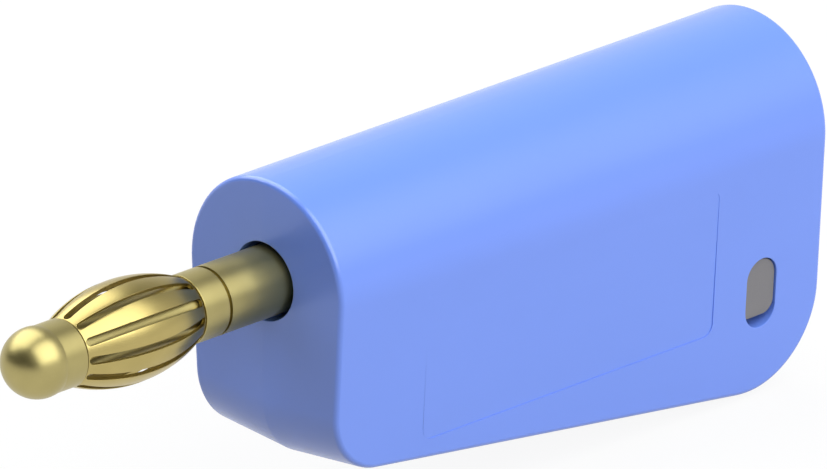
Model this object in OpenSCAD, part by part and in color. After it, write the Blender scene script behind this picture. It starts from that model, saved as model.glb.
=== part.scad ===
// Stackable 4 mm banana plug: moulded insulator, turned contact, sprung lantern cage.
// Frame: +X is the plugging direction, the origin is on the pin axis at the front face,
// +Y is the side with the label field and +Z is up. Lengths in millimetres.

/* [Plug pin] */
// Diameter of the shank and of the collar ring
pin_d = 3.95; // [3.8:0.01:4.1]
// Diameter of the ball nose
nose_d = 4; // [3.9:0.01:4.1]
// Diameter of the throat behind the ball
throat_d = 3.86; // [3.76:0.01:3.88]
// Front face of the insulator to the tip
pin_l = 19; // [17:0.1:24]
// Bare shank between the insulator and the collar ring
shank_l = 4.2; // [2:0.1:6]
// Length of the collar ring
collar_l = 1.95; // [1:0.05:4]
// Length of the nose with its throat
nose_l = 4; // [3:0.05:5]
// Depth of the nose pin's spigot in the shank
spigot_l = 5; // [3:0.5:7]
// Diameter of the spigot
spigot_d = 2.4; // [1.8:0.1:2.8]
// Room behind the spigot in its bore
spigot_rest = 0.3; // [0.1:0.05:1]
// Width of the groove that shows as the joint line behind the collar ring
joint_w = 0.13; // [0.06:0.01:0.25]
// Depth of that groove
joint_deep = 0.18; // [0.1:0.01:0.3]

/* [Lantern cage] */
// Free diameter of the cage at its belly
cage_d = 5.8; // [5:0.02:6.4]
// Sheet thickness of the cage
cage_t = 0.25; // [0.15:0.01:0.3]
// Lip of the collar ring over the cage's rear band
collar_lip = 0.1; // [0.06:0.01:0.15]
// Lip of the throat over the cage's front band
nose_lip = 0.08; // [0.06:0.01:0.12]
// Depth of the recess under each lip
tuck_l = 0.6; // [0.4:0.05:1]
// Wall of the front band
band_t = 0.16; // [0.1:0.01:0.2]
// Step from each band up to the belly
shoulder = 0.09; // [0.04:0.01:0.12]
// Number of slots
slot_n = 12; // [6:1:16]
// Width of a slot
slot_w = 0.46; // [0.3:0.02:0.5]
// Slots end this far from the collar ring and from the throat
slot_rest = 0.11; // [0.08:0.01:0.6]

/* [Insulator] */
// Length over the front and rear faces
body_l = 37.95; // [36:0.05:44]
// Diameter of the half-round top
body_d = 11.74; // [11:0.02:14]
// Lean of each side towards the underside, in degrees
side_taper = 3.6; // [1:0.1:5]
// Depth of the front face's lower edge line below the pin axis
skirt_z = 10; // [9.5:0.1:13]
// Slope of the underside, in degrees
skirt_slope = 7.55; // [5:0.05:9]
// Radius of the corner at the bottom of the front
front_corner_r = 3.95; // [2:0.05:5]
// Radius of the corner at the bottom of the rear
rear_corner_r = 5.28; // [3:0.02:5.6]
// Moulding draft of the front face about the parting plane, in degrees
front_draft = 1.6; // [0.5:0.1:4]
// Moulding draft of the underside about the parting plane, in degrees
bottom_draft = 3.6; // [0.5:0.1:6]
// Radius that breaks the outer edges
edge_r = 0.32; // [0.1:0.02:0.6]
// Thickness of the moulded walls
wall = 1.4; // [1:0.1:1.8]
// Thickness of the front wall behind the pin
front_wall = 4; // [2.5:0.1:6]
// Gap around the shank in the front hole, on the radius
pin_hole_gap = 0.26; // [0.1:0.02:0.5]
// Wall between the contact's bore and the cable chamber
roof_t = 0.8; // [0.6:0.05:1]
// Width of the neck that joins them
neck_w = 3.9; // [2.8:0.1:5]
// Chamber in front of the wire hole
lead_room = 1.5; // [1:0.1:2]
// Chamber floor below the windows
window_floor = 0.25; // [0.1:0.05:0.5]

/* [Snap window] */
// Width of the oval window
window_w = 2.3; // [1.6:0.1:3]
// Height of the oval window
window_h = 4.1; // [3.4:0.1:4.4]
// Centre of the window in front of the rear face
window_back = 4.67; // [4:0.01:5]
// Centre of the window below the pin axis
window_z = 8.33; // [8:0.01:8.6]
// Depth of the nub's face below the insulator's side
nub_sink = 0.13; // [0.05:0.01:0.6]
// Gap beside and above the nub
nub_gap = 0.06; // [0.03:0.01:0.2]
// Play under the nub
nub_play = 0.46; // [0.1:0.02:0.6]
// Root of the nub inside the insulator's wall
nub_root = 0.6; // [0.4:0.1:1]

/* [Label field] */
// Length of the bare recessed field
label_l = 22.56; // [15:0.02:24]
// Height of the field
label_h = 8.8; // [6:0.02:9]
// Front edge of the field behind the front face
label_start = 6.94; // [5:0.02:9]
// Top edge of the field below the pin axis
label_z = 1; // [0.8:0.01:2]
// Depth of the field
label_sink = 0.08; // [0.03:0.01:0.2]
// Corner radius of the field
label_r = 0.7; // [0.2:0.1:2]

/* [Contact and clamp screw] */
// Wall of the socket barrel
barrel_wall = 1; // [0.8:0.05:1.2]
// Gap between a plug nose and the socket, on the radius
socket_gap = 0.035; // [0.02:0.005:0.06]
// Depth of the stacking socket
socket_l = 20; // [18:0.1:21]
// Length of the lead-in at the socket's mouth
mouth_l = 0.4; // [0.2:0.05:0.6]
// Diameter of the wire hole
wire_hole_d = 2.2; // [1.6:0.1:2.6]
// Wire hole behind the front face
wire_hole_start = 10.5; // [9.5:0.1:11.2]
// Thread diameter of the clamp screw
screw_d = 3; // [2.5:0.1:3.4]
// Length of the clamp screw
screw_l = 4; // [3:0.1:4.2]
// Length of the screw's cone point
screw_point = 0.6; // [0.3:0.05:0.9]
// Distance of the undone screw from the wire hole
screw_open = 0.15; // [0.05:0.05:0.4]
// Thread on the far side of the wire hole
thread_past = 0.3; // [0.1:0.05:0.6]
// Width of the screwdriver slot
driver_w = 0.5; // [0.4:0.05:0.8]
// Depth of the screwdriver slot
driver_l = 0.8; // [0.5:0.05:1.2]

/* [Rear insert] */
// Thickness of the closing plate
plate_t = 1.4; // [1:0.1:2]
// Depth of the plate inside the rear rim
plate_sink = 0.5; // [0.4:0.05:0.8]
// Ledge that stops the plate, all round
plate_ledge = 0.2; // [0.1:0.05:0.4]
// Length of the block that carries the nubs
block_l = 5; // [4.6:0.1:8]
// Diameter of the cable entry
cable_d = 4.2; // [3.4:0.1:4.4]
// Cable entry below the pin axis
cable_z = 6.6; // [6.4:0.1:6.9]
// Gap of the plate's mouth around the socket, on the radius
mouth_gap = 0.3; // [0.2:0.05:0.45]

/* [Clearances] */
// Moulded piece in moulded piece, on the radius
mould_gap = 0.1; // [0.05:0.01:0.2]
// Turned piece in moulded bore, on the radius
seat_gap = 0.05; // [0.02:0.01:0.1]
// Piece that turns on its seat, on the radius
run_gap = 0.04; // [0.02:0.01:0.08]
// Pressed piece in its bore, on the radius
press_gap = 0.005; // [0.002:0.001:0.02]
// Contact between front wall and plate, along the axis
end_gap = 0.05; // [0.02:0.01:0.2]

/* [Hidden] */
$fn = 128;
ring_fn = 96;
rim_fn = 16;
// Width of the crease that the two halves of the mould leave along the underside
ridge_w = 0.02;
// Cuts run this far past a face, and joined solids overlap by the weld
past = 1;
weld = 0.2;

// Stations on the pin
collar_x = shank_l;
lip_x = collar_x + collar_l;
core_x = lip_x - tuck_l;
nose_x = pin_l - nose_l;
dome_x = pin_l - nose_d / 2;
cage_front_x = nose_x + tuck_l - end_gap;
cage_back_x = core_x + end_gap;
belly_front_x = nose_x - run_gap;
belly_back_x = lip_x + run_gap;
slot_front_x = nose_x - slot_rest;
slot_back_x = lip_x + slot_rest;

// Diameters on the pin, from the lips inwards
recess_d = pin_d - 2 * collar_lip;
band_d = recess_d - 2 * run_gap;
front_recess_d = throat_d - 2 * nose_lip;
front_band_d = front_recess_d - 2 * run_gap;
cage_bore_d = front_band_d - 2 * band_t;
core_d = cage_bore_d - 2 * run_gap;

// The belly is one arc through both shoulders of the cage, with its top at the free diameter
belly_l = belly_front_x - belly_back_x;
front_h = (cage_d - front_band_d) / 2 - shoulder;
back_h = (cage_d - band_d) / 2 - shoulder;
arc_a = 1 / front_h - 1 / back_h;
arc_b = 2 * belly_l / back_h;
arc_c = front_h - back_h - pow(belly_l, 2) / back_h;
belly_front_l = -2 * arc_c / (arc_b + sqrt(pow(arc_b, 2) - 4 * arc_a * arc_c));
belly_x = belly_front_x - belly_front_l;
belly_r = (pow(belly_front_l, 2) + pow(front_h, 2)) / (2 * front_h);

// Stations inside the insulator
plate_x = plate_sink + plate_t - body_l;
barrel_back = plate_x + end_gap;
socket_end = barrel_back + socket_l;
wire_x = -wire_hole_start;
thread_end = wire_x + wire_hole_d / 2 + thread_past;
screw_tip = wire_x - wire_hole_d / 2 - screw_open;
chamber_x = wire_x + wire_hole_d / 2 + lead_room;
window_x = window_back - body_l;

// Sections
body_r = body_d / 2;
inner_r = body_r - wall;
socket_d = nose_d + 2 * socket_gap;
barrel_d = socket_d + 2 * barrel_wall;
bore_d = barrel_d + 2 * seat_gap;
thread_d = screw_d + 2 * run_gap;
chamber_top = -bore_d / 2 - roof_t;
floor_front = skirt_line(chamber_x) + wall;
floor_back = -window_z - window_h / 2 - window_floor;
plate_r = inner_r + plate_ledge;
plate_low = floor_back - plate_ledge;

// Corner centres of the skirt
front_corner_z = -(skirt_z + tan(skirt_slope) * front_corner_r) + front_corner_r / cos(skirt_slope);
rear_corner_x = rear_corner_r - body_l;
rear_corner_z = skirt_line(rear_corner_x) + rear_corner_r / cos(skirt_slope);
front_setback = tan(front_draft) * (half_width(front_corner_z) - edge_r);
front_corner_x = -front_corner_r - front_setback;
ridge_drop = tan(bottom_draft) * half_width(-skirt_z);

// Height of the underside's edge at a station
function skirt_line(x) = -skirt_z + tan(skirt_slope) * x;

// Half width of the sides at a height under the half-round top
function half_width(z) = body_r / cos(side_taper) + tan(side_taper) * z;

module gold() color([0.86, 0.72, 0.38]) children();

module rod(d, x0, x1) translate([x0, 0, 0]) rotate([0, 90, 0]) cylinder(d = d, h = x1 - x0);

// Sets a section drawn in Y and Z along X
module along(x0, x1) translate([x0, 0, 0]) rotate([90, 0, 90]) linear_extrude(height = x1 - x0) children();

// Sets a profile drawn in X and Z across the whole width
module across() rotate([90, 0, 0]) linear_extrude(height = 2 * body_d, center = true) children();

// Places children on the +Y side, with local Y along its outward normal
module on_side(x, z) translate([x, half_width(z), z]) rotate([-side_taper, 0, 0]) children();

// Cuts or builds inwards from the side, between two depths
module inwards(from, to) {
    translate([0, -from, 0]) rotate([90, 0, 0]) linear_extrude(height = to - from) children();
}

module both_sides() {
    children();
    mirror([0, 1, 0]) children();
}

module oval(w, h) {
    square([w, h - w], center = true);
    for (end = [-1, 1]) translate([0, end * (h - w) / 2]) circle(d = w);
}

module rounded_field(l, h, r) {
    square([l - 2 * r, h], center = true);
    square([l, h - 2 * r], center = true);
    for (sx = [-1, 1], sy = [-1, 1]) translate([sx * (l / 2 - r), sy * (h / 2 - r)]) circle(r = r);
}

// Half-round top with leaning sides, cut off at a height
module keystone(r, low) {
    low_w = r / cos(side_taper) + tan(side_taper) * low;
    shoulder = [r * cos(side_taper), -r * sin(side_taper)];
    circle(r = r);
    polygon([shoulder, [low_w, low], [-low_w, low], [-shoulder.x, shoulder.y]]);
}

// Cable chamber between two stations, drawn in by a gap for the block that fills it
module chamber(x0, x1, gap) {
    fall = (floor_back - floor_front) / (chamber_x + body_l);
    low0 = floor_front + fall * (chamber_x - x0) + gap;
    low1 = floor_front + fall * (chamber_x - x1) + gap;
    intersection() {
        along(x0, x1) keystone(inner_r - gap, 2 * floor_back);
        across() polygon([[x0, low0], [x1, low1], [x1, chamber_top - gap], [x0, chamber_top - gap]]);
    }
}

module edge_torus(r, turn = 360) {
    rotate_extrude(angle = turn, $fn = ring_fn) translate([r - edge_r, 0]) circle(r = edge_r, $fn = rim_fn);
}

module skirt_corner(r, x, z) on_side(x, z) translate([0, -edge_r, 0]) rotate([90, 0, 0]) edge_torus(r);

module skirt_ridge(r, x, z) {
    translate([x, 0, z - ridge_drop]) rotate([90, 0, 0])
        cylinder(r = r, h = ridge_w, center = true, $fn = ring_fn);
}

// Outer skin: round top, leaning sides and drafted faces with every edge broken
module insulator_skin() hull() {
    both_sides() {
        rotate([0, 0, front_draft]) translate([-edge_r, 0, 0]) rotate([0, 90, 0]) edge_torus(body_r, 180);
        skirt_corner(front_corner_r, front_corner_x, front_corner_z);
        skirt_corner(rear_corner_r, rear_corner_x, rear_corner_z);
    }
    translate([edge_r - body_l, 0, 0]) rotate([0, 90, 0]) edge_torus(body_r);
    skirt_ridge(front_corner_r, -front_corner_r, front_corner_z);
    skirt_ridge(rear_corner_r, rear_corner_x, rear_corner_z);
}

module insulator() color([0.45, 0.56, 0.98]) difference() {
    insulator_skin();
    rod(pin_d + 2 * pin_hole_gap, -front_wall - past, past);
    rod(bore_d, -body_l - past, -front_wall);
    chamber(-body_l - past, chamber_x, 0);
    // Neck that lets the lead rise from the chamber to the wire hole
    along(-body_l - past, chamber_x)
        translate([-neck_w / 2, chamber_top - weld]) square([neck_w, -chamber_top]);
    along(-body_l - past, plate_x) keystone(plate_r, plate_low);
    both_sides() on_side(window_x, -window_z) inwards(-past, wall + past) oval(window_w, window_h);
    on_side(-label_start - label_l / 2, -label_z - label_h / 2)
        inwards(-past, label_sink) rounded_field(label_l, label_h, label_r);
}

module contact_body() gold() difference() {
    union() {
        rod(pin_d, -front_wall - past, collar_x);
        rod(barrel_d, barrel_back, -front_wall);
    }
    rod(spigot_d + 2 * press_gap, collar_x - spigot_l, collar_x + past);
    rod(thread_d, socket_end - past, thread_end);
    rod(socket_d, barrel_back - past, socket_end);
    // Lead-in at the mouth of the socket
    translate([barrel_back, 0, 0]) rotate([0, 90, 0])
        cylinder(d1 = socket_d + 2 * mouth_l, d2 = socket_d, h = mouth_l);
    translate([wire_x, 0, -barrel_d]) cylinder(d = wire_hole_d, h = barrel_d + thread_d / 2);
}

module collar_ring() gold() difference() {
    union() {
        rod(pin_d - 2 * joint_deep, collar_x, collar_x + joint_w + weld);
        rod(pin_d, collar_x + joint_w, lip_x);
    }
    rod(spigot_d + 2 * press_gap, collar_x - past, lip_x);
    rod(recess_d, core_x, lip_x + past);
}

// Profile of the bulging sheet, radius to the right and the pin axis upwards
module cage_profile() {
    difference() {
        intersection() {
            translate([cage_d / 2 - belly_r, belly_x]) circle(r = belly_r, $fn = 256);
            translate([cage_bore_d / 2, belly_back_x]) square([cage_d, belly_l]);
        }
        translate([cage_d / 2 - belly_r, belly_x]) circle(r = belly_r - cage_t, $fn = 256);
    }
    // Plain bands, trapped under the lips of the collar ring and of the throat
    translate([cage_bore_d / 2, cage_back_x])
        square([(band_d - cage_bore_d) / 2, belly_back_x - cage_back_x]);
    translate([cage_bore_d / 2, belly_front_x]) square([band_t, cage_front_x - belly_front_x]);
}

module lantern_cage() gold() difference() {
    // The sheet's seam is turned to the middle of a rib
    rotate([180 / slot_n, 0, 0]) rotate([0, 90, 0]) rotate_extrude() cage_profile();
    for (i = [0 : slot_n - 1]) rotate([i * 360 / slot_n, 0, 0])
        translate([(slot_front_x + slot_back_x) / 2, 0, 0]) linear_extrude(height = cage_d)
            rotate([0, 0, 90]) oval(slot_w, slot_front_x - slot_back_x, $fn = 12);
}

module nose_pin() gold() rotate([0, 90, 0]) rotate_extrude() {
    translate([0, collar_x - spigot_l + spigot_rest]) square([spigot_d / 2, core_x - collar_x + spigot_l]);
    translate([0, core_x]) square([core_d / 2, nose_x + tuck_l - core_x + weld]);
    // Throat, bored from behind to leave a lip over the cage's front band
    translate([front_recess_d / 2, nose_x]) square([nose_lip, tuck_l + weld]);
    translate([0, nose_x + tuck_l]) square([throat_d / 2, dome_x - nose_x - tuck_l]);
    intersection() {
        translate([0, dome_x]) circle(d = nose_d);
        translate([0, nose_x + tuck_l]) square(nose_d);
    }
}

// Set screw, reached through the stacking socket from the rear
module clamp_screw() color([0.7, 0.71, 0.73]) difference() {
    union() {
        rod(screw_d, screw_tip - screw_l, screw_tip - screw_point);
        translate([screw_tip - screw_point, 0, 0]) rotate([0, 90, 0])
            cylinder(d1 = screw_d, d2 = screw_d - 2 * screw_point, h = screw_point);
    }
    translate([screw_tip - screw_l - past, -screw_d, -driver_w / 2])
        cube([driver_l + past, 2 * screw_d, driver_w]);
}

module rear_insert() color([0.54, 0.53, 0.52]) difference() {
    union() {
        along(plate_sink - body_l, plate_x) keystone(plate_r - mould_gap, plate_low + mould_gap);
        chamber(plate_x - weld, plate_x + block_l, mould_gap);
        both_sides() on_side(window_x, -window_z) translate([0, 0, (nub_play - nub_gap) / 2])
            inwards(nub_sink, wall + nub_root) oval(window_w - 2 * nub_gap, window_h - nub_gap - nub_play);
    }
    rod(socket_d + 2 * mouth_gap, -body_l - past, plate_x + past);
    translate([0, 0, -cable_z]) rod(cable_d, -body_l - past, plate_x + block_l + past);
}

insulator();
contact_body();
collar_ring();
lantern_cage();
nose_pin();
clamp_screw();
rear_insert();
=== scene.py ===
import math

import bpy
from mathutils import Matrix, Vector


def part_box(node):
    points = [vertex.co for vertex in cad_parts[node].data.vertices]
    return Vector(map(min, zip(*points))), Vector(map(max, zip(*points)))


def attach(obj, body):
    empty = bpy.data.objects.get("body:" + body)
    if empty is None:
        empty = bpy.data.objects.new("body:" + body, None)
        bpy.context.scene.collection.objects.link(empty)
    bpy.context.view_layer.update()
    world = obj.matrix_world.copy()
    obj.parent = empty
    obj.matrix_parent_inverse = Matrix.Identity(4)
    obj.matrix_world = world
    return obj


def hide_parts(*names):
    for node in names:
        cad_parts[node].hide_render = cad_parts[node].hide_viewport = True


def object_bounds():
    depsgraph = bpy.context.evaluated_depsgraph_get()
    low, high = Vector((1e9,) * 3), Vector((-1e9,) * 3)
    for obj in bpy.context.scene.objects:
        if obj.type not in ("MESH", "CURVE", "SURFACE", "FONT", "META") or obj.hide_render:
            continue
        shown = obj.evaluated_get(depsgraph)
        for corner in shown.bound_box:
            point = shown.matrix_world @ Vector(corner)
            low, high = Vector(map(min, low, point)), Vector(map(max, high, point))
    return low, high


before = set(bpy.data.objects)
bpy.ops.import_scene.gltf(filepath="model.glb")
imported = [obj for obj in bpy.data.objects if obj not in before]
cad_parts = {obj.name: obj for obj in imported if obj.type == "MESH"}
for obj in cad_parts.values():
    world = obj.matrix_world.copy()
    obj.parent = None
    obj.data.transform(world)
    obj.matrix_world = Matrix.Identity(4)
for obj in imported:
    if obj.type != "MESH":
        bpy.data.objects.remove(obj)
cad_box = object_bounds()
mm = 0.001


# Contact body
# One turned length of brass: the shank in front, the socket barrel behind it.
# It is turned from bar, drilled from both ends and plated with gold.
class Wire:
    """One value in a material. An expression on wires adds its Math nodes."""

    def __init__(self, tree, socket=None):
        self.tree = tree
        self.socket = socket

    def make(self, kind, settings, sockets, output=0):
        """Adds any node: its settings come first, then the values or wires of its sockets."""
        node = self.tree.nodes.new(kind)
        for name, value in settings.items():
            setattr(node, name, value)
        for name, value in sockets.items():
            if isinstance(value, Wire):
                self.tree.links.new(value.socket, node.inputs[name])
            else:
                node.inputs[name].default_value = value
        return Wire(self.tree, node.outputs[output]) if node.outputs else node

    def math(self, operation, left, right):
        return self.make("ShaderNodeMath", {"operation": operation}, {0: left, 1: right})

    def __add__(self, other):
        return self.math("ADD", self, other)

    def __radd__(self, other):
        return self.math("ADD", other, self)

    def __sub__(self, other):
        return self.math("SUBTRACT", self, other)

    def __rsub__(self, other):
        return self.math("SUBTRACT", other, self)

    def __mul__(self, other):
        return self.math("MULTIPLY", self, other)

    def __rmul__(self, other):
        return self.math("MULTIPLY", other, self)


def new_finish(name):
    """A material with an empty node tree, and the wire that its nodes start from."""
    finish = bpy.data.materials.new(name)
    finish.use_nodes = True
    finish.node_tree.nodes.clear()
    return finish, Wire(finish.node_tree)


def grain(wire, per_metre, detail):
    """Noise on the piece's own coordinates, from 0 to 1, so many grains a metre along X, Y and Z."""
    place = wire.make("ShaderNodeTexCoord", {}, {}, output="Object")
    stretched = wire.make("ShaderNodeVectorMath", {"operation": "MULTIPLY"}, {0: place, 1: per_metre})
    return wire.make("ShaderNodeTexNoise", {}, {"Vector": stretched, "Scale": 1.0, "Detail": detail})


def tinted(wire, share, low, high):
    """A colour between low and high."""
    return wire.make("ShaderNodeMix", {"data_type": "RGBA"}, {0: share, 6: low, 7: high}, output=2)


def gold_plate(name, grains_per_metre, low, high, dullness):
    """Satin gold plating over brass, with the fine marks that the tool or the rolls left under it."""
    finish, wire = new_finish(name)
    marks = grain(wire, grains_per_metre, 2.0)
    cloud = grain(wire, (900.0, 900.0, 900.0), 1.0)
    bump = wire.make(
        "ShaderNodeBump",
        {},
        {"Strength": 0.03, "Distance": 0.01 * mm, "Height": marks},
    )
    shader = wire.make(
        "ShaderNodeBsdfPrincipled",
        {},
        {
            "Base Color": tinted(wire, cloud, low, high),
            "Metallic": 1.0,
            "Roughness": dullness + 0.06 * marks,
            "Normal": bump,
        },
    )
    wire.make("ShaderNodeOutputMaterial", {}, {"Surface": shader})
    return finish


turned_gold = gold_plate(
    "turned_gold",
    grains_per_metre=(26000.0, 300.0, 300.0),
    low=(0.406, 0.345, 0.141, 1.0),
    high=(0.461, 0.392, 0.166, 1.0),
    dullness=0.33,
)
contact_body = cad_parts["contact_body"]
contact_body.data.materials[0] = turned_gold

# Clamp screw
# A slotted set screw of zinc-plated steel, driven in through the stacking socket.
# Its cone point presses the bare lead in the wire hole.
zinc_plate, wire = new_finish("zinc_plate")
speckle = grain(wire, (9000.0, 9000.0, 9000.0), 3.0)
zinc = wire.make(
    "ShaderNodeBsdfPrincipled",
    {},
    {
        "Base Color": tinted(wire, speckle, (0.52, 0.53, 0.55, 1.0), (0.62, 0.63, 0.64, 1.0)),
        "Metallic": 1.0,
        "Roughness": 0.3 + 0.15 * speckle,
    },
)
wire.make("ShaderNodeOutputMaterial", {}, {"Surface": zinc})
clamp_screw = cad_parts["clamp_screw"]
clamp_screw.data.materials[0] = zinc_plate


# Collar ring
# A short turned ring of gold-plated brass, pushed on the spigot against the shank.
# Its thin front lip holds the rear band of the cage, and its stepped end leaves the dark joint line.
def on_lathe(name, stations, closed):
    """Turns a piece about the pin axis: one ring of edges at each station, an X and a radius."""
    ring_steps = 144
    touching = 0.001 * mm
    bpy.ops.object.select_all(action="DESELECT")
    x, radius = stations[0]
    bpy.ops.mesh.primitive_circle_add(
        vertices=ring_steps, radius=radius, location=(x, 0, 0), rotation=(0, math.radians(90), 0)
    )
    piece = bpy.context.object
    piece.name = name
    bpy.ops.object.transform_apply(location=True, rotation=True, scale=True)
    bpy.ops.object.mode_set(mode="EDIT")
    for next_x, next_radius in stations[1:]:
        bpy.ops.mesh.extrude_region_move(TRANSFORM_OT_translate={"value": (next_x - x, 0, 0)})
        swell = next_radius / radius
        bpy.ops.transform.resize(value=(1, swell, swell), center_override=(next_x, 0, 0))
        x, radius = next_x, next_radius
    if closed:
        bpy.ops.mesh.select_mode(type="EDGE")
        bpy.ops.mesh.select_all(action="DESELECT")
        bpy.ops.mesh.select_non_manifold()
        bpy.ops.mesh.bridge_edge_loops()
    bpy.ops.mesh.select_all(action="SELECT")
    bpy.ops.mesh.remove_doubles(threshold=touching)
    bpy.ops.mesh.normals_make_consistent(inside=False)
    bpy.ops.object.mode_set(mode="OBJECT")
    return piece


def shaded(piece, smooth_below):
    """Smooths the edges below an angle in degrees, large faces first, at a size where that works."""
    enlarged = 1000
    piece.scale = (enlarged, enlarged, enlarged)
    bpy.ops.object.transform_apply(location=False, rotation=False, scale=True)
    bpy.ops.object.shade_smooth_by_angle(angle=math.radians(smooth_below))
    large_first = piece.modifiers.new("large_faces_first", "WEIGHTED_NORMAL")
    large_first.keep_sharp = True
    bpy.ops.object.modifier_apply(modifier=large_first.name)
    piece.scale = (1 / enlarged, 1 / enlarged, 1 / enlarged)
    bpy.ops.object.transform_apply(location=False, rotation=False, scale=True)


def finished(piece, edge_r, body, node, material):
    """Breaks the piece's sharp edges, shades it, and sets it on its body in place of its plain node."""
    sharp_above = 40
    bpy.ops.object.select_all(action="DESELECT")
    piece.select_set(True)
    bpy.context.view_layer.objects.active = piece
    rounding = piece.modifiers.new("broken_edges", "BEVEL")
    rounding.width = edge_r
    rounding.segments = 2
    rounding.limit_method = "ANGLE"
    rounding.angle_limit = math.radians(sharp_above)
    rounding.use_clamp_overlap = False
    bpy.ops.object.modifier_apply(modifier=rounding.name)
    shaded(piece, smooth_below=38)
    piece.data.materials.clear()
    piece.data.materials.append(material)
    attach(piece, body)
    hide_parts(node)


collar_low, collar_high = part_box("collar_ring")
collar_r = collar_high.z
groove_w = 0.18 * mm
groove_t = 0.28 * mm
collar_lip_t = 0.1 * mm
tuck_l = 0.6 * mm
collar_bore_r = 1.205 * mm
collar = on_lathe(
    "turned_collar",
    [
        (collar_low.x, collar_bore_r),
        (collar_low.x, collar_r - groove_t),
        (collar_low.x + groove_w, collar_r - groove_t),
        (collar_low.x + groove_w, collar_r),
        (collar_high.x, collar_r),
        (collar_high.x, collar_r - collar_lip_t),
        (collar_high.x - tuck_l, collar_r - collar_lip_t),
        (collar_high.x - tuck_l, collar_bore_r),
    ],
    closed=True,
)
collar_edge_r = 0.04 * mm
finished(collar, collar_edge_r, "plug", "collar_ring", turned_gold)

# Lantern cage
# A slotted sheet of spring brass, rolled to a tube, bulged and plated with gold.
# Its two plain bands turn freely under the lips of the collar and of the nose.
cage_low, cage_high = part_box("lantern_cage")
sheet_t = 0.25 * mm
turning_gap = 0.04 * mm
throat_r = 1.93 * mm
throat_lip_t = 0.08 * mm
throat_x = 15.0 * mm
rear_band_r = collar_r - collar_lip_t - turning_gap
front_band_r = throat_r - throat_lip_t - turning_gap
front_band_t = 0.16 * mm
cage_bore_r = front_band_r - front_band_t
shoulder_t = 0.09 * mm
slot_count = 12
slot_w = 0.46 * mm
slot_rest = 0.11 * mm
slot_back_x = collar_high.x + slot_rest
slot_front_x = throat_x - slot_rest

# The belly is one arc through both shoulders, with its top at the free diameter
belly_back_x = collar_high.x + turning_gap
belly_front_x = throat_x - turning_gap
belly_l = belly_front_x - belly_back_x
belly_r = cage_high.z
front_rise = belly_r - front_band_r - shoulder_t
back_rise = belly_r - rear_band_r - shoulder_t
arc_a = 1 / front_rise - 1 / back_rise
arc_b = 2 * belly_l / back_rise
arc_c = front_rise - back_rise - belly_l**2 / back_rise
belly_front_l = -2 * arc_c / (arc_b + math.sqrt(arc_b**2 - 4 * arc_a * arc_c))
belly_x = belly_front_x - belly_front_l
arc_r = (belly_front_l**2 + front_rise**2) / (2 * front_rise)


def belly(x, depth):
    """Radius of the bulged sheet at a station, so deep under its outer face."""
    return max(math.sqrt((arc_r - depth) ** 2 - (x - belly_x) ** 2) + belly_r - arc_r, cage_bore_r)


arc_steps = 48
arc_xs = [belly_back_x + belly_l * i / arc_steps for i in range(arc_steps + 1)]
outside = [(x, belly(x, 0)) for x in arc_xs]
inside = [(x, belly(x, sheet_t)) for x in reversed(arc_xs)]
cage = on_lathe(
    "spring_cage",
    [
        (cage_low.x, cage_bore_r),
        (cage_low.x, rear_band_r),
        (belly_back_x, rear_band_r),
        *outside,
        (belly_front_x, front_band_r),
        (cage_high.x, front_band_r),
        (cage_high.x, cage_bore_r),
        *inside,
    ],
    closed=True,
)

# Each slot is cut by a tall block with round ends, which stands clear of the pin axis
cutter_h = 2 * belly_r
cutter_middle_z = 1.3 * belly_r
end_r = 0.4999 * slot_w
end_steps = 8
bpy.ops.object.select_all(action="DESELECT")
cutters = []
for turn in range(slot_count):
    bpy.ops.mesh.primitive_cube_add(size=1)
    cutter = bpy.context.object
    cutter.scale = (slot_front_x - slot_back_x, slot_w, cutter_h)
    cutter.location = ((slot_front_x + slot_back_x) / 2, 0, cutter_middle_z)
    bpy.ops.object.transform_apply(location=True, rotation=True, scale=True)
    bpy.ops.object.mode_set(mode="EDIT")
    bpy.ops.mesh.select_all(action="DESELECT")
    bpy.ops.object.mode_set(mode="OBJECT")
    for edge in cutter.data.edges:
        ends = [cutter.data.vertices[i].co for i in edge.vertices]
        edge.select = abs(ends[0].z - ends[1].z) > cutter_h / 2
    bpy.ops.object.mode_set(mode="EDIT")
    bpy.ops.mesh.select_mode(type="EDGE")
    bpy.ops.mesh.bevel(offset=end_r, segments=end_steps, affect="EDGES")
    bpy.ops.object.mode_set(mode="OBJECT")
    cutter.rotation_euler.x = math.radians(360 / slot_count * turn)
    bpy.ops.object.transform_apply(location=True, rotation=True, scale=True)
    cutters.append(cutter)
bpy.ops.object.select_all(action="DESELECT")
for cutter in cutters:
    cutter.select_set(True)
bpy.context.view_layer.objects.active = cutters[0]
bpy.ops.object.join()
cutter = bpy.context.object
bpy.ops.object.select_all(action="DESELECT")
cage.select_set(True)
bpy.context.view_layer.objects.active = cage
slotting = cage.modifiers.new("slots", "BOOLEAN")
slotting.object = cutter
slotting.operation = "DIFFERENCE"
slotting.solver = "EXACT"
bpy.ops.object.modifier_apply(modifier=slotting.name)
bpy.data.objects.remove(cutter)
sliver_w = 0.012 * mm
bpy.ops.object.mode_set(mode="EDIT")
bpy.ops.mesh.select_all(action="SELECT")
bpy.ops.mesh.remove_doubles(threshold=sliver_w)
bpy.ops.object.mode_set(mode="OBJECT")

rolled_gold = gold_plate(
    "rolled_gold",
    grains_per_metre=(700.0, 16000.0, 16000.0),
    low=(0.450, 0.362, 0.134, 1.0),
    high=(0.510, 0.412, 0.157, 1.0),
    dullness=0.27,
)
cage_edge_r = 0.035 * mm
finished(cage, cage_edge_r, "cage", "lantern_cage", rolled_gold)

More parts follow.
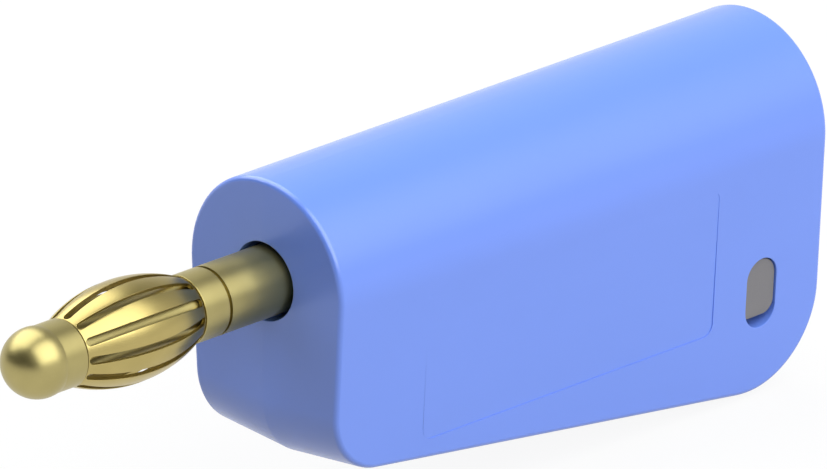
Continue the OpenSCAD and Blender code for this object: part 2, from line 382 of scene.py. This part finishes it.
# Nose pin
# A turned pin of gold-plated brass: a ball nose on a throat, a core inside the cage, and a spigot.
# The spigot is pressed through the collar ring into the shank.
pin_low, pin_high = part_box("nose_pin")
ball_r = pin_high.z
ball_x = pin_high.x - ball_r
core_x = collar_high.x - tuck_l
core_r = cage_bore_r - turning_gap
recess_r = throat_r - throat_lip_t
recess_x = throat_x + tuck_l
spigot_r = 1.2 * mm
centre_r = 0.0002 * mm
ball_start = -math.acos(throat_r / ball_r)
ball_steps = 52
ball_turns = [ball_start + (math.radians(90) - ball_start) * i / ball_steps for i in range(ball_steps)]
ball = [(ball_x + ball_r * math.sin(a), ball_r * math.cos(a)) for a in ball_turns]
nose = on_lathe(
    "ball_nose",
    [
        (pin_low.x, centre_r),
        (pin_low.x, spigot_r),
        (core_x, spigot_r),
        (core_x, core_r),
        (recess_x, core_r),
        (recess_x, recess_r),
        (throat_x, recess_r),
        (throat_x, throat_r),
        *ball,
        (pin_high.x, centre_r),
    ],
    closed=False,
)
nose_edge_r = 0.05 * mm
finished(nose, nose_edge_r, "plug", "nose_pin", turned_gold)

# Insulator
# A hollow moulding of light blue polyamide with a satin skin, drafted from its parting plane.
# It is pushed over the contact from the front and closed at the rear by the insert.
blue_plastic, wire = new_finish("blue_plastic")
skin = grain(wire, (14000.0, 14000.0, 14000.0), 3.0)
flow = grain(wire, (120.0, 260.0, 260.0), 2.0)
skin_bump = wire.make(
    "ShaderNodeBump",
    {},
    {"Strength": 0.08, "Distance": 0.02 * mm, "Height": skin},
)
blue = wire.make(
    "ShaderNodeBsdfPrincipled",
    {},
    {
        "Base Color": tinted(wire, flow, (0.137, 0.252, 0.797, 1.0), (0.145, 0.262, 0.827, 1.0)),
        "IOR": 1.7,
        "Roughness": 0.22 + 0.05 * skin,
        "Normal": skin_bump,
    },
)
wire.make("ShaderNodeOutputMaterial", {}, {"Surface": blue})

# The solid's mesh is merged to whole flat faces
seam_w = 0.0005 * mm
flat_within = math.radians(0.2)
insulator = bpy.data.objects.new("moulded_insulator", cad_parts["insulator"].data.copy())
bpy.context.scene.collection.objects.link(insulator)
bpy.ops.object.select_all(action="DESELECT")
insulator.select_set(True)
bpy.context.view_layer.objects.active = insulator
bpy.ops.mesh.customdata_custom_splitnormals_clear()
bpy.ops.object.mode_set(mode="EDIT")
bpy.ops.mesh.select_all(action="SELECT")
bpy.ops.mesh.remove_doubles(threshold=seam_w)
bpy.ops.mesh.mark_sharp(clear=True)
bpy.ops.mesh.faces_shade_smooth()
bpy.ops.mesh.dissolve_limited(angle_limit=flat_within)
bpy.ops.mesh.select_all(action="DESELECT")
bpy.ops.mesh.select_mode(type="EDGE")
bpy.ops.object.mode_set(mode="OBJECT")
beside = {}
for face in insulator.data.polygons:
    for key in face.edge_keys:
        beside.setdefault(key, []).append(face.normal)

# The label field is a little shallower here than in the solid, which keeps its edges faint.
# Its floor hangs on the short edges between its walls
nearly_square = 0.3
label_lift = 0.03 * mm
label_back_x = -30 * mm
label_front_x = -6.5 * mm
outer_wall_y = 4.5 * mm
for edge in insulator.data.edges:
    first, second = beside[edge.key]
    ends = [insulator.data.vertices[i] for i in edge.vertices]
    floor_end = min(ends, key=lambda end: end.co.y)
    in_label = floor_end.co.y > outer_wall_y and label_back_x < floor_end.co.x < label_front_x
    if in_label and max(abs(first.y), abs(second.y)) < nearly_square:
        floor_end.co.y += label_lift

# The rims of the two windows and of the front hole are rounded
nearly_along = 0.97
rim_r = 0.08 * mm
front_x = -0.4 * mm
for edge in insulator.data.edges:
    first, second = beside[edge.key]
    ends = [insulator.data.vertices[i].co for i in edge.vertices]
    middle = (ends[0] + ends[1]) / 2
    on_side = max(abs(first.y), abs(second.y)) > nearly_along and abs(middle.y) > outer_wall_y
    on_window = on_side and middle.x < label_back_x
    on_front = max(first.x, second.x) > nearly_along and middle.x > front_x
    edge.select = abs(first.dot(second)) < nearly_square and (on_window or on_front)
bpy.ops.object.mode_set(mode="EDIT")
bpy.ops.mesh.bevel(offset=rim_r, segments=2, affect="EDGES")
bpy.ops.object.mode_set(mode="OBJECT")
shaded(insulator, smooth_below=32)
insulator.data.materials.clear()
insulator.data.materials.append(blue_plastic)
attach(insulator, "plug")
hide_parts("insulator")

# Rear insert
# A grey moulding that closes the insulator, with the socket's mouth and the cable entry.
# Its two oval nubs snap into the windows in the insulator's sides.
grey_plastic, wire = new_finish("grey_plastic")
dust = grain(wire, (11000.0, 11000.0, 11000.0), 3.0)
dust_bump = wire.make(
    "ShaderNodeBump",
    {},
    {"Strength": 0.15, "Distance": 0.02 * mm, "Height": dust},
)
grey = wire.make(
    "ShaderNodeBsdfPrincipled",
    {},
    {
        "Base Color": tinted(wire, dust, (0.168, 0.161, 0.172, 1.0), (0.192, 0.185, 0.196, 1.0)),
        "Roughness": 0.5 + 0.1 * dust,
        "Normal": dust_bump,
    },
)
wire.make("ShaderNodeOutputMaterial", {}, {"Surface": grey})

# Each nub ends below in a flat with round corners, where the solid has a half round
insert = bpy.data.objects.new("moulded_insert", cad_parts["rear_insert"].data.copy())
bpy.context.scene.collection.objects.link(insert)
nub_x = -33.28 * mm
nub_r = 1.09 * mm
nub_reach = 1.05 * nub_r
nub_round_z = -8.83 * mm
nub_root_y = 4.3 * mm
nub_floor_z = -9.7 * mm
front_corner_r = 0.2 * mm
rear_corner_r = 0.8 * mm
for vertex in insert.data.vertices:
    x, y, z = vertex.co
    if abs(y) > nub_root_y and z < nub_round_z and abs(x - nub_x) < nub_reach:
        corner_r = front_corner_r if x > nub_x else rear_corner_r
        into_corner = min(max(abs(x - nub_x) - nub_r + corner_r, 0), corner_r)
        vertex.co.z = nub_floor_z + corner_r - math.sqrt(corner_r**2 - into_corner**2)
insert.data.materials.clear()
insert.data.materials.append(grey_plastic)
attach(insert, "plug")
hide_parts("rear_insert")


# Floor, light and camera
# A plain pale floor that runs on white to the horizon, under two large soft boxes.
# A sky that is brightest low down fills the shade.
def seen_directly(wire):
    """1 where the camera, a reflection or a clear material looks straight at a surface."""
    straight = {}
    for name in ("Is Camera Ray", "Is Glossy Ray", "Is Transmission Ray"):
        straight[name] = wire.make("ShaderNodeLightPath", {}, {}, output=name)
    either = wire.math("MAXIMUM", straight["Is Camera Ray"], straight["Is Glossy Ray"])
    return wire.math("MAXIMUM", either, straight["Is Transmission Ray"])


floor_z = cad_box[0].z
floor_size = 12
glow_share = 0.85
pale_floor, wire = new_finish("pale_floor")
paint = wire.make("ShaderNodeBsdfDiffuse", {}, {"Color": (0.38, 0.38, 0.38, 1.0)})
glow = wire.make("ShaderNodeEmission", {}, {"Color": (1.0, 1.0, 1.0, 1.0), "Strength": 1.08})
floor_look = wire.make(
    "ShaderNodeMixShader",
    {},
    {0: glow_share * seen_directly(wire), 1: paint, 2: glow},
)
wire.make("ShaderNodeOutputMaterial", {}, {"Surface": floor_look})
bpy.ops.object.select_all(action="DESELECT")
bpy.ops.mesh.primitive_plane_add(size=floor_size, location=(0, 0, floor_z))
floor = bpy.context.object
floor.name = "floor"
floor.data.materials.append(pale_floor)

studio = bpy.data.worlds.new("studio")
studio.use_nodes = True
studio.node_tree.nodes.clear()
wire = Wire(studio.node_tree)
direction = wire.make("ShaderNodeTexCoord", {}, {}, output="Generated")
height = wire.make("ShaderNodeSeparateXYZ", {}, {"Vector": direction}, output="Z")
brightness = wire.make(
    "ShaderNodeMapRange",
    {"clamp": True},
    {"Value": height, "From Min": 0.28, "From Max": 0.8, "To Min": 0.76, "To Max": 0.2},
)
below_horizon = wire.math("LESS_THAN", height, 0.0)
strength = wire.math("MAXIMUM", brightness, below_horizon)
sky = wire.make("ShaderNodeBackground", {}, {"Color": (1.0, 1.0, 1.0, 1.0), "Strength": strength})
wire.make("ShaderNodeOutputWorld", {}, {"Surface": sky})
bpy.context.scene.world = studio

# The soft boxes are long along the plug, face it from both sides and give slightly cool light
centre = (cad_box[0] + cad_box[1]) / 2
box_w = 1.40
box_distance = 1.2
box_radiance = 2.82
for name, box_l, towards, shift in (
    ("far_box", 1.54, (0.0, -0.60, 0.80), 0.08),
    ("near_box", 1.71, (0.0, 0.67, 0.74), -0.05),
):
    lamp = bpy.data.lights.new(name, "AREA")
    lamp.shape = "RECTANGLE"
    lamp.size = box_l
    lamp.size_y = box_w
    lamp.color = (0.98, 1.0, 0.98)
    lamp.energy = box_radiance * math.pi * box_l * box_w
    soft_box = bpy.data.objects.new(name, lamp)
    bpy.context.scene.collection.objects.link(soft_box)
    outwards = Vector(towards).normalized()
    soft_box.rotation_mode = "QUATERNION"
    soft_box.rotation_quaternion = outwards.to_track_quat("Z", "Y")
    soft_box.location = centre + box_distance * outwards + Vector((shift, 0, 0))

# A tall dark card stands far ahead of the plug, and a low one just before its tip,
# so that its front face lies in half shade. The low one throws no shadow and no reflection
low_card_h = 14 * mm
low_card_gap = 3.5 * mm
low_card_place = (cad_box[1].x + low_card_gap, 0, floor_z + low_card_h / 2)
for name, greyness, size, place, turn, shades_all in (
    ("tall_card", 0.04, (3.6, 3.3), (1.0, -0.15, 0), 81, True),
    ("low_card", 0.03, (0.2, low_card_h), low_card_place, 90, False),
):
    bpy.ops.object.select_all(action="DESELECT")
    stand = (math.radians(90), 0, math.radians(turn))
    bpy.ops.mesh.primitive_plane_add(size=1, location=place, rotation=stand)
    card = bpy.context.object
    card.name = name
    card.scale = (*size, 1)
    card.visible_camera = False
    card.visible_shadow = shades_all
    card.visible_glossy = shades_all
    card_felt, wire = new_finish(name)
    felt = wire.make("ShaderNodeBsdfDiffuse", {}, {"Color": (greyness, greyness, greyness, 1.0)})
    wire.make("ShaderNodeOutputMaterial", {}, {"Surface": felt})
    card.data.materials.append(card_felt)

# The camera stands where the photograph was taken from: 135 degrees round and 21 degrees up
azimuth = math.radians(135.02)
elevation = math.radians(21.05)
aim = Vector((-11.52, 0, -0.42)) * mm
view_width = 45.06 * mm
lens = bpy.data.cameras.new("camera")
lens.lens = 900
lens.sensor_width = 36
camera = bpy.data.objects.new("camera", lens)
bpy.context.scene.collection.objects.link(camera)
back = Vector(
    (
        math.sin(azimuth) * math.cos(elevation),
        -math.cos(azimuth) * math.cos(elevation),
        math.sin(elevation),
    )
)
camera.location = aim + back * (view_width * lens.lens / lens.sensor_width)
camera.rotation_mode = "QUATERNION"
camera.rotation_quaternion = (-back).to_track_quat("-Z", "Y")
bpy.context.scene.camera = camera
bpy.context.scene.view_settings.view_transform = "Standard"
